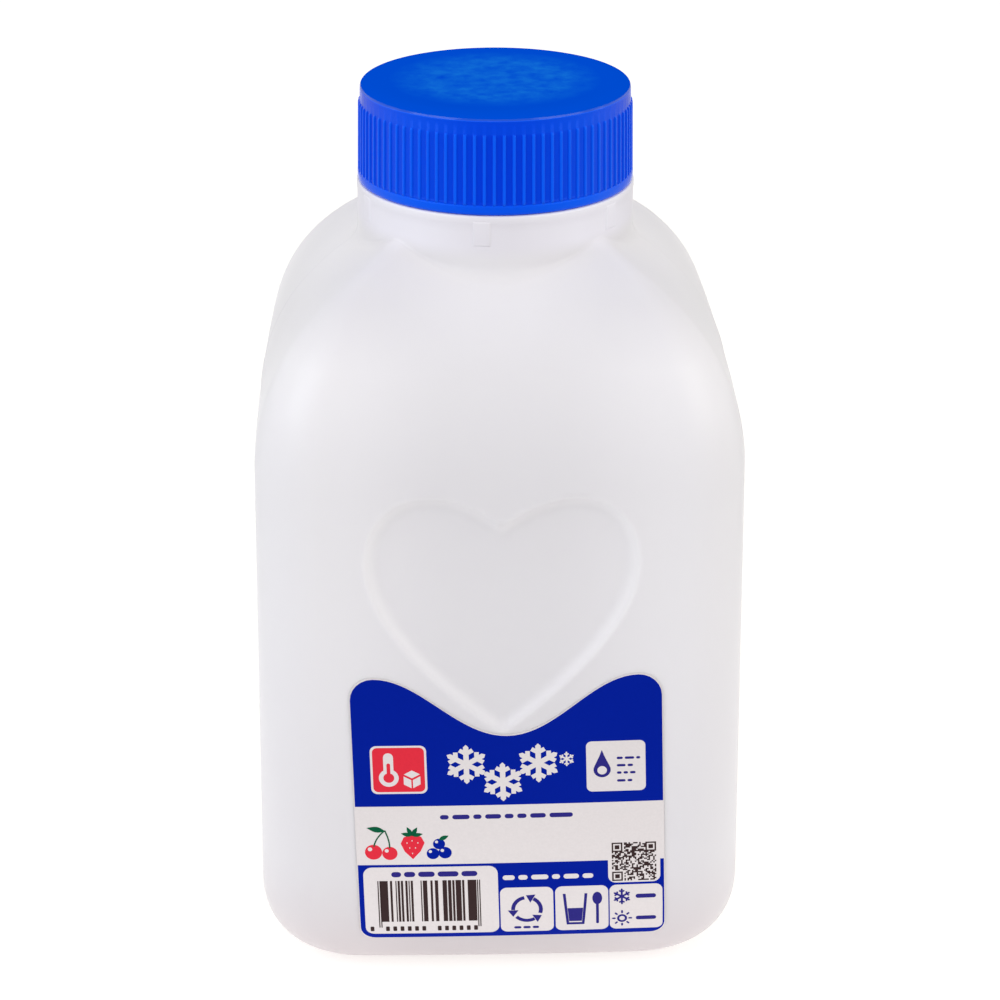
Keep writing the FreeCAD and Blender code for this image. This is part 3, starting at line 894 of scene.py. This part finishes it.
def wrap(name, body, material, layer=1):
    """Cuts flat faces into strips, gives them thickness and lays them on the front."""
    cuts = [((u, 0, 0), (1, 0, 0)) for u in CUTS_U] + [((0, v, 0), (0, 1, 0)) for v in CUTS_V]
    for place, along in cuts:
        everything = body.verts[:] + body.edges[:] + body.faces[:]
        bmesh.ops.bisect_plane(body, geom=everything, plane_co=place, plane_no=along)
    bmesh.ops.remove_doubles(body, verts=body.verts[:], dist=0.0005)
    for face in body.faces[:]:
        face.normal_update()
        if face.normal.z > 0:
            face.normal_flip()
    low, high = (0.0, FILM) if layer == 0 else (FILM + (layer - 1) * INK, FILM + layer * INK)
    lower = body.verts[:]
    upper = bmesh.ops.extrude_face_region(body, geom=body.faces[:], use_keep_orig=True)["geom"]
    upper = [part for part in upper if isinstance(part, bmesh.types.BMVert)]
    for corners, lift in ((lower, low), (upper, high)):
        for corner in corners:
            corner.co = Vector(on_front(corner.co.x, corner.co.y, lift))
    bmesh.ops.recalc_face_normals(body, faces=body.faces[:])
    for corner in body.verts:
        corner.co *= MM
    mesh = bpy.data.meshes.new(name)
    body.to_mesh(mesh)
    body.free()
    return finish_piece(make_object(name, mesh, material), "label")


def lay(name, shapes, material, layer=1):
    """A skin of this material on the front, from flat shapes, each an outline and its holes."""
    body = bmesh.new()
    for loops in shapes:
        fill(body, loops)
    return wrap(name, body, material, layer)


# %% [markdown]
# Flat shapes are few: a box with rounded corners, a disc, a ring, a stroke with round ends, a
# crystal of snow, and the label's own outline. Most of what is printed is made of these.

# %% Boxes, discs and strokes
def arc(u, v, r, start, end, count=7):
    """Points on an arc, angles in degrees."""
    turns = [math.radians(start + (end - start) * i / (count - 1)) for i in range(count)]
    return [(u + r * math.cos(t), v + r * math.sin(t)) for t in turns]


def box(u0, v0, u1, v1, r=0.0):
    """A box with rounded corners."""
    if r == 0:
        return [(u0, v0), (u1, v0), (u1, v1), (u0, v1)]
    return (arc(u1 - r, v1 - r, r, 0, 90) + arc(u0 + r, v1 - r, r, 90, 180)
            + arc(u0 + r, v0 + r, r, 180, 270) + arc(u1 - r, v0 + r, r, 270, 360))


def disc(u, v, r, wide=1.0, count=24):
    return [(u + (a - u) * wide, b) for a, b in arc(u, v, r, 0, 360, count + 1)[:-1]]


def ring(u, v, r, width):
    return [disc(u, v, r), disc(u, v, r - width)]


def stroke(start, end, width):
    """A straight line with round ends."""
    turn = math.degrees(math.atan2(end[1] - start[1], end[0] - start[0]))
    return arc(*end, width / 2, turn - 90, turn + 90) + arc(*start, width / 2, turn + 90, turn + 270)


def ribbon(path, width):
    """A bent line of even width along a path of points."""
    left, right = [], []
    for i, (u, v) in enumerate(path):
        (u0, v0), (u1, v1) = path[max(i - 1, 0)], path[min(i + 1, len(path) - 1)]
        length = math.hypot(u1 - u0, v1 - v0)
        across, up = (v0 - v1) / length * width / 2, (u1 - u0) / length * width / 2
        left.append((u + across, v + up))
        right.append((u - across, v - up))
    return right + left[::-1]


# %% Crystals and dashes
def crystal(u, v, r, half, barbs):
    """A six-armed crystal of snow as one outline; barbs gives the place, length and width of each."""
    side = [(1.732 * half, half)]
    for start, length, width in barbs:
        side += [(start, half), (start + length / 2, half + 0.866 * length)]
        side += [(side[-1][0] + 0.866 * width, side[-1][1] - 0.5 * width), (start + 1.155 * width, half)]
    side.append((r - half, half))
    arm = [(a, -b) for a, b in side] + [(r, 0)] + side[:0:-1]
    outline = []
    for sixth in range(6):
        turn = math.radians(30 + 60 * sixth)
        for a, b in arm:
            outline.append((u + a * math.cos(turn) - b * math.sin(turn),
                            v + a * math.sin(turn) + b * math.cos(turn)))
    return outline


def dashes(u0, u1, v, height, gap, shortest, longest, dice):
    """A row of round-ended dashes from u0 to u1, of chance lengths, in place of a line of words."""
    row = []
    while u0 < u1 - shortest:
        end = min(u0 + dice.uniform(shortest, longest), u1)
        row.append([stroke((u0 + height / 2, v), (end - height / 2, v), height)])
        u0 = end + gap
    return row


# %% Edges of the label
LABEL_CORNER, FOOT_CORNER = 3.6, 2.3


def label_top(wide, hump, valley_v):
    """Upper edge of the label from its right side to its left."""
    r = LABEL_CORNER
    half = [(wide - r, hump), (0.55 * wide, hump), (0.32 * wide, valley_v), (0, valley_v)]
    wave = bezier(half, 20).tolist()
    right = arc(wide - r, hump - r, r, 0, 90)[:-1] + wave
    return right + [(0, valley_v)] + [(-u, v) for u, v in right[::-1]]


def label_foot(wide, low):
    """Lower edge of the label from its left side to its right."""
    r = FOOT_CORNER
    return arc(r - wide, low + r, r, 180, 270) + arc(wide - r, low + r, r, 270, 360)


# %% [markdown]
# ## What is printed
#
# A deep blue field under the heart, a pale band, and a blue frame with windows below it. The
# print names nobody: crystals of snow, dashes and small pictures fill its places, each ink with
# its own colour. The film's specks and the inks' low shine come from a matte varnish.

# %% Film and blue fields
def film_material(name, colour, rough):
    """A matte film or ink of one colour, with fine specks."""
    material, tree = new_material(name)
    place = add(tree, "ShaderNodeTexCoord").outputs["Object"]
    speck = add(tree, "ShaderNodeTexNoise", {"Vector": place, "Scale": 1 / (0.4 * MM), "Detail": 2.0})
    shade = add(tree, "ShaderNodeMapRange", {"Value": speck, "From Min": 0.3, "From Max": 0.7,
                                             "To Min": 0.98, "To Max": 1.02})
    tone = add(tree, "ShaderNodeMix", {"Factor": 1.0, "A": linear(colour), "B": shade},
               data_type="RGBA", blend_type="MULTIPLY")
    close_material(tree, {"Base Color": tone, "Roughness": rough, "IOR": 1.5, "Specular IOR Level": 0.03})
    return material


FILM_WHITE = film_material("label film, white polypropylene", "#E3DCDE", 0.45)
INK_BLUE = film_material("printing ink, deep blue", "#001D98", 0.40)
INK_WHITE = film_material("printing ink, white", "#E3DCDE", 0.45)
INK_RED = film_material("printing ink, red", "#E33143", 0.42)
INK_NAVY = film_material("printing ink, violet navy", "#2F2A80", 0.42)
INK_GREEN = film_material("printing ink, green", "#0A5A3C", 0.42)
INK_BROWN = film_material("printing ink, dark brown", "#3A2B2C", 0.45)


# %% The film, the blue field and the frame
FRAME_TOP = 14.25
FIELD_FOOT = 24.8
MARGIN = 0.12
wide = LABEL_HALF - MARGIN
outline = label_foot(LABEL_HALF, 0) + label_top(LABEL_HALF, LABEL_HUMP, LABEL_VALLEY)
film = lay("label_film", [[outline]], FILM_WHITE, 0)
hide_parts("label")
field = [(-wide, FIELD_FOOT), (wide, FIELD_FOOT)]
field += label_top(wide, LABEL_HUMP - MARGIN, LABEL_VALLEY - MARGIN)
badge = box(-21.4, 27.05, -12.65, 35.55, 1.0)
card = box(12.15, 26.75, 21.4, 35.65, 0.9)
windows = [box(-23.3, 1.0, -2.15, 13.8, 1.4)]
windows += [box(left, 1.05, left + 8.4, 9.7, 1.1) for left in (-1.9, 6.8, 15.4)]
notch = arc(22.3, 11.3, 1.2, 360, 270) + arc(16.45, 11.3, 1.2, 270, 180)
lower = label_foot(wide, MARGIN) + [(wide, FRAME_TOP), (23.5, FRAME_TOP)] + notch
lower += [(15.25, FRAME_TOP), (-wide, FRAME_TOP)]
lay("print_blue", [[field, badge, card], [lower] + windows], INK_BLUE)

# %% [markdown]
# White on the blue: three large crystals and a small one where a name would stand, and a row of
# dashes in the frame. The red badge holds a thermometer and a cube of ice.

# %% White crystals, red badge
dice = random.Random(7)
white = [[crystal(u, v, 3.45, 0.42, [(1.72, 0.92, 0.72)])]
         for u, v in ((-6.5, 32.1), (-0.9, 28.9), (4.7, 32.1))]
white.append([crystal(9.1, 32.7, 1.3, 0.14, [(0.66, 0.32, 0.24)])])
white += dashes(-1.4, 12.9, 11.55, 0.85, 0.55, 1.1, 3.6, dice)
lay("print_white", white, INK_WHITE, 2)
tube = arc(-18.6, 29.9, 1.55, 120, 420, 19) + arc(-18.6, 33.5, 0.78, 0, 180, 9)
column = arc(-18.6, 29.9, 0.85, 110, 430, 19) + arc(-18.6, 32.2, 0.29, 0, 180, 7)
cube_top = [(-15.0, 31.2), (-13.75, 30.5), (-15.0, 29.8), (-16.25, 30.5)]
cube_left = [(-16.3, 30.15), (-15.12, 29.48), (-15.12, 28.05), (-16.3, 28.72)]
cube_right = [(-13.7, 30.15), (-14.88, 29.48), (-14.88, 28.05), (-13.7, 28.72)]
lay("print_red", [[box(-21.05, 27.4, -13.0, 35.2, 0.8)]], INK_RED)
lay("print_badge", [[tube, column], [cube_top], [cube_left], [cube_right]], INK_WHITE, 2)


# %% [markdown]
# Violet navy on white: a drop with dashes on the card, a line of dashes, and in the windows a loop
# of three arrows, a tumbler with a spoon, and frost above sun.

# %% Navy pictures and dashes
def turned(outline, u, v, degrees):
    """The outline turned about a place."""
    c, s = math.cos(math.radians(degrees)), math.sin(math.radians(degrees))
    return [(u + (a - u) * c - (b - v) * s, v + (a - u) * s + (b - v) * c) for a, b in outline]


navy = dashes(-10.9, 10.9, 22.75, 0.8, 0.55, 1.2, 4.2, dice)
navy += dashes(-18.9, -4.3, 12.45, 0.95, 0.45, 1.3, 3.4, dice)
drop = arc(14.6, 30.6, 1.35, 150, 390, 15) + [(15.0, 33.0), (14.6, 34.1), (14.2, 33.0)]
navy.append([drop, disc(14.6, 30.5, 0.75)])
for row, v in enumerate((32.6, 31.3, 30.0, 28.6)):
    navy += dashes(16.9, 20.6 - 0.5 * (row % 2), v, 0.42, 0.3, 0.6, 1.5, dice)
loop = (2.3, 5.6)
arrow = ribbon(arc(*loop, 2.2, 100, 182, 9), 0.62)
head = [(-0.75, 5.45), (0.95, 5.45), (0.1, 4.2)]
navy += [[turned(shape, *loop, turn)] for turn in (0, 120, 240) for shape in (arrow, head)]
navy += dashes(0.2, 4.4, 1.95, 0.5, 0.3, 0.8, 1.4, dice)
tumbler = [(8.0, 8.3), (8.55, 2.3), (11.35, 2.3), (11.9, 8.3), (11.45, 8.3), (10.98, 2.75),
           (8.92, 2.75), (8.45, 8.3)]
drink = [(8.72, 5.6), (11.18, 5.6), (10.95, 3.0), (8.95, 3.0)]
spoon = [disc(13.45, 7.35, 1.15, 0.68), stroke((13.45, 6.5), (13.45, 2.6), 0.45)]
frost = crystal(17.35, 7.5, 1.5, 0.16, [(0.78, 0.38, 0.27)])
sun = (17.35, 3.3)
ray = stroke((18.5, 3.3), (18.8, 3.3), 0.3)
navy += [[shape] for shape in (tumbler, drink, *spoon, frost)] + [ring(*sun, 0.8, 0.36)]
navy += [[turned(ray, *sun, turn)] for turn in range(0, 360, 45)]
navy += [[stroke((19.9, v), (22.4, v), 0.75)] for v in (7.5, 3.3)]
lay("print_navy", navy, INK_NAVY)


# %% [markdown]
# A small picture of things to freeze: a pair of cherries, a strawberry and three plums.

# %% Fruit
def leaf(u, v, length, width, degrees):
    """A pointed leaf that starts at a place and lies in this direction."""
    half = [(t * length, width * math.sin(math.pi * t) * (1 - 0.35 * t)) for t in np.linspace(0, 1, 9)]
    outline = half + [(a, -b) for a, b in half[-2:0:-1]]
    return turned([(u + a, v + b) for a, b in outline], u, v, degrees)


cherries = [(-21.5, 16.6, 1.35), (-18.95, 16.35, 1.2)]
berry = [(-16.7, 19.2), (-15.4, 19.75), (-13.95, 19.3), (-13.45, 18.2), (-14.1, 16.7), (-15.35, 15.25),
         (-16.6, 16.65), (-17.2, 18.1)]
plums = [(-12.2, 16.2, 1.0), (-10.3, 16.35, 1.05), (-11.2, 17.95, 0.95)]
lay("print_fruit", [[disc(*cherry)] for cherry in cherries] + [[berry]], INK_RED)
stalk_top = (-19.6, 20.5)
stalks = [ribbon(bezier([*low, stalk_top], 8).tolist() + [stalk_top], 0.22)
          for low in (((-21.4, 17.6), (-21.2, 18.8), (-20.4, 19.8)),
                      ((-18.95, 17.3), (-18.9, 18.6), (-19.3, 19.6)))]
leaves = [leaf(-19.6, 20.4, 2.9, 0.6, 168)] + [leaf(-15.4, 19.5, 1.75, 0.42, d) for d in (10, 60, 115, 165)]
leaves += [leaf(-11.2, 18.7, 1.7, 0.45, 25)]
lay("print_leaves", [[shape] for shape in stalks + leaves], INK_GREEN, 2)
lay("print_plums", [[disc(*plum)] for plum in plums], INK_BLUE)
shine = [disc(u - 0.4 * r, v + 0.4 * r, 0.26 * r) for u, v, r in cherries + plums]
seeds = [disc(u, v, 0.13, 0.7, 8) for u, v in ((-16.2, 18.2), (-15.4, 18.6), (-14.5, 18.2), (-15.8, 17.3),
                                               (-14.9, 17.3), (-15.4, 16.3))]
lay("print_shine", [[shape] for shape in shine + seeds], INK_WHITE, 2)


# %% [markdown]
# ## Bars and modules
#
# A row of bars and a square of modules are the same thing: cells of a grid, of which chance keeps
# about half. Geometry Nodes make the grid's points, keep some of them by a seeded chance and set
# a small plate on each. Both stand for nothing and cannot be read.

# %% A tree that keeps cells of a grid by chance
def scattered_cells(material):
    """Plates on a grid: columns, rows, size of a cell, share kept and seed."""
    whole, real = "NodeSocketInt", "NodeSocketFloat"
    tree, given = new_tree("scattered cells", [
        ("Columns", whole, 10), ("Rows", whole, 10), ("Cell width", real, 1.0),
        ("Cell height", real, 1.0), ("Share kept", real, 0.5), ("Seed", whole, 1)])
    size = [add(tree, "ShaderNodeMath", {0: given[label], 1: -1.0}, operation="ADD")
            for label in ("Columns", "Rows")]
    span = [add(tree, "ShaderNodeMath", {0: count, 1: given[label]}, operation="MULTIPLY")
            for count, label in zip(size, ("Cell width", "Cell height"))]
    net = add(tree, "GeometryNodeMeshGrid", {"Size X": span[0], "Size Y": span[1],
                                             "Vertices X": given["Columns"], "Vertices Y": given["Rows"]})
    chance = add(tree, "FunctionNodeRandomValue",
                 {"Probability": given["Share kept"], "Seed": given["Seed"]}, data_type="BOOLEAN")
    plate = add(tree, "GeometryNodeMeshGrid", {"Size X": given["Cell width"], "Vertices X": 2,
                                               "Size Y": given["Cell height"], "Vertices Y": 2})
    plates = add(tree, "GeometryNodeInstanceOnPoints",
                 {"Points": net, "Instance": plate, "Selection": chance})
    close_tree(tree, plates, material)
    return tree


def scatter(tree, columns, rows, width, height, seed, middle):
    """Runs the tree and returns its plates as flat outlines round a middle place."""
    seedling = make_object("cells", bpy.data.meshes.new("cells"))
    apply_nodes(seedling, tree, {"Columns": columns, "Rows": rows, "Cell width": width,
                                 "Cell height": height, "Seed": seed})
    mesh = seedling.data
    outlines = [[[(mesh.vertices[i].co.x + middle[0], mesh.vertices[i].co.y + middle[1])
                  for i in face.vertices]] for face in mesh.polygons]
    bpy.data.objects.remove(seedling)
    return outlines


# %% Bars
cells = scattered_cells(INK_BROWN)
BAR = 0.172
BARS_U = -13.05
brown = scatter(cells, 89, 1, BAR, 7.7, 11, (BARS_U, 7.45))
brown += [[box(BARS_U + (at - 0.5) * BAR, 2.4, BARS_U + (at + 0.5) * BAR, 11.3)]
          for at in (-46.5, -44.6, 44.6, 46.5)]
blocks = [-22.55] + [start + 1.15 * number for start in (-20.1, -11.9) for number in range(6)]
brown += [[box(u, 1.6, u + 0.6, 2.6, 0.15)] for u in blocks]
lay("print_bars", brown, INK_BROWN)

# %% Square
SIDE, MODULES, CORNER = 7.0, 29, 7
MODULE = SIDE / MODULES
left, foot = 15.875, 10.4
ends = ((left, foot), (left, foot + SIDE), (left + SIDE, foot + SIDE))
clear = (CORNER + 0.5) * MODULE
middle = (left + SIDE / 2, foot + SIDE / 2)
square = [cell for cell in scatter(cells, MODULES, MODULES, MODULE, MODULE, 5, middle)
          if not any(abs(cell[0][0][0] - a) < clear and abs(cell[0][0][1] - b) < clear for a, b in ends)]
far, high = (start + (MODULES - CORNER) * MODULE for start in (left, foot))
for cuts in ((0, 1), (2,)):
    square += [[box(*(start + cut * MODULE for start in (a, b)),
                    *(start + (CORNER - cut) * MODULE for start in (a, b))) for cut in cuts]
               for a, b in ((left, foot), (left, high), (far, high))]
lay("print_square", square, INK_BROWN)


# %% [markdown]
# ## Camera, floor and light
#
# The camera looks down on the front with a long lens, as in a catalogue. The floor is a plain
# pale sheet that glows faintly beside and behind the bottle, like a light table, so that the
# bottle stands on white. The light is soft from all round, with a large box and a faint strip on
# each side.

# %% Camera
YAW, RISE, ROLL = math.radians(-1.75), math.radians(23.90), math.radians(0.10)
DISTANCE = 435.88
ASIDE, AIM_Z = 0.832, 68.68


def place_camera():
    """A long lens, a little left of the front, above it and hardly turned."""
    target = Vector((ASIDE * math.cos(YAW), ASIDE * math.sin(YAW), AIM_Z)) * MM
    away = Vector((math.sin(YAW) * math.cos(RISE), -math.cos(YAW) * math.cos(RISE), math.sin(RISE)))
    data = bpy.data.cameras.new("camera")
    data.lens = 95.07
    data.sensor_width = 36.0
    data.clip_start = 0.01
    camera = make_object("camera", data)
    camera.location = target + away * DISTANCE * MM
    camera.rotation_euler = away.to_track_quat("Z", "Y").to_euler()
    camera.rotation_euler.rotate_axis("Z", ROLL)
    bpy.context.scene.camera = camera
    print("camera %.0f mm away with a %.0f mm lens" % (DISTANCE, data.lens))


place_camera()


# %% Floor
FLOOR_HALF = 3000


def pale_floor():
    """A sheet that glows beside and behind the bottle. Its places are in metres."""
    material, tree = new_material("light table, white")
    place = add(tree, "ShaderNodeTexCoord").outputs["Object"]
    along = add(tree, "ShaderNodeSeparateXYZ", {0: place}).outputs
    aside = add(tree, "ShaderNodeMath", {0: along["X"]}, operation="ABSOLUTE")
    wedge = add(tree, "ShaderNodeMath", {0: along["Y"], 1: -0.19, 2: aside}, operation="MULTIPLY_ADD")
    beside, ahead = (
        add(tree, "ShaderNodeMapRange", {"Value": value, "From Min": start, "From Max": end,
                                         "To Min": low, "To Max": high}, interpolation_type="SMOOTHSTEP")
        for value, start, end, low, high in ((wedge, 0.092, 0.14, 0.56, 0.0),
                                             (along["Y"], -0.12, -0.05, 0.0, 1.0)))
    glow = add(tree, "ShaderNodeMath", {0: beside, 1: ahead}, operation="MULTIPLY")
    close_material(tree, {"Base Color": linear("#CBCBCB"), "Roughness": 0.8, "Specular IOR Level": 0.2,
                          "Emission Color": linear("#FFFCF8"), "Emission Strength": glow})
    corners = [(u * FLOOR_HALF, v * FLOOR_HALF, 0) for u, v in ((-1, -1), (1, -1), (1, 1), (-1, 1))]
    mesh_from("floor", corners, [(0, 1, 2, 3)], material)
    print("floor %.0f m wide" % (2 * FLOOR_HALF * MM))


pale_floor()


# %% Lamps and surroundings
def softbox(name, place, aim, size, power, colour="#FFFFFF"):
    """A rectangular lamp at place, turned to aim; all in metres, power in watts."""
    data = bpy.data.lights.new(name, "AREA")
    data.shape = "RECTANGLE"
    data.size, data.size_y = size
    data.energy = power
    data.color = linear(colour)[:3]
    lamp = make_object(name, data)
    lamp.location = place
    lamp.rotation_euler = (Vector(place) - Vector(aim)).to_track_quat("Z", "Y").to_euler()
    print("%-14s %.2f W" % (name, power))


world = bpy.data.worlds.new("white studio")
bpy.context.scene.world = world
world.use_nodes = True
sky = world.node_tree.nodes["Background"].inputs
sky["Color"].default_value = linear("#FFFFFC")
sky["Strength"].default_value = 0.81
middle = (0, 0, 0.07)
softbox("left softbox", (-0.545, -0.370, 0.430), middle, (0.52, 0.46), 1.40, "#F0F8FF")
softbox("left strip", (-0.736, 0.064, 0.200), middle, (0.14, 0.50), 0.08)
softbox("right softbox", (0.530, -0.380, 0.420), middle, (0.52, 0.46), 1.08, "#FFFEF7")
softbox("right strip", (0.736, 0.064, 0.200), middle, (0.14, 0.50), 0.12)
bpy.context.scene.view_settings.view_transform = "Standard"
